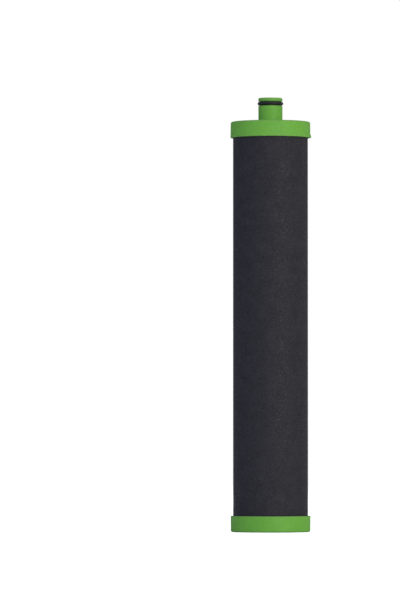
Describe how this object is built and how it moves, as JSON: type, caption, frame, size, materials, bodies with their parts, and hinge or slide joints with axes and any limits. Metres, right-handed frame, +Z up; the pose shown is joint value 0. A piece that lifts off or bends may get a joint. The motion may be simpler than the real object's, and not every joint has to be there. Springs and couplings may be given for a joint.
{
  "type": "water filter cartridge",
  "caption": "Tall carbon block water filter cartridge with bonded green end caps; the top cap has an outlet spigot with a rubber seal ring.",
  "frame": {"origin": "centre of the bottom cap's foot, on the surface that the cartridge stands on", "axes": "+Z up along the cartridge's axis, towards the spigot; +X towards the gate stub on the top cap's skirt; +Y completes a right-handed frame"},
  "size_m": [0.0446, 0.0442, 0.24],
  "materials": {
    "carbon": "fine-grained pressed activated carbon, charcoal black, dull",
    "cap_plastic": "moulded leaf green plastic, satin",
    "seal_rubber": "smooth black rubber, satin",
    "adhesive": "set hot-melt adhesive, waxy amber"
  },
  "bodies": {
    "root": {"carbon_block": "carbon", "top_cap": "cap_plastic", "bottom_cap": "cap_plastic", "seal_ring": "seal_rubber", "top_adhesive": "adhesive", "bottom_adhesive": "adhesive"}
  },
  "joints": []
}
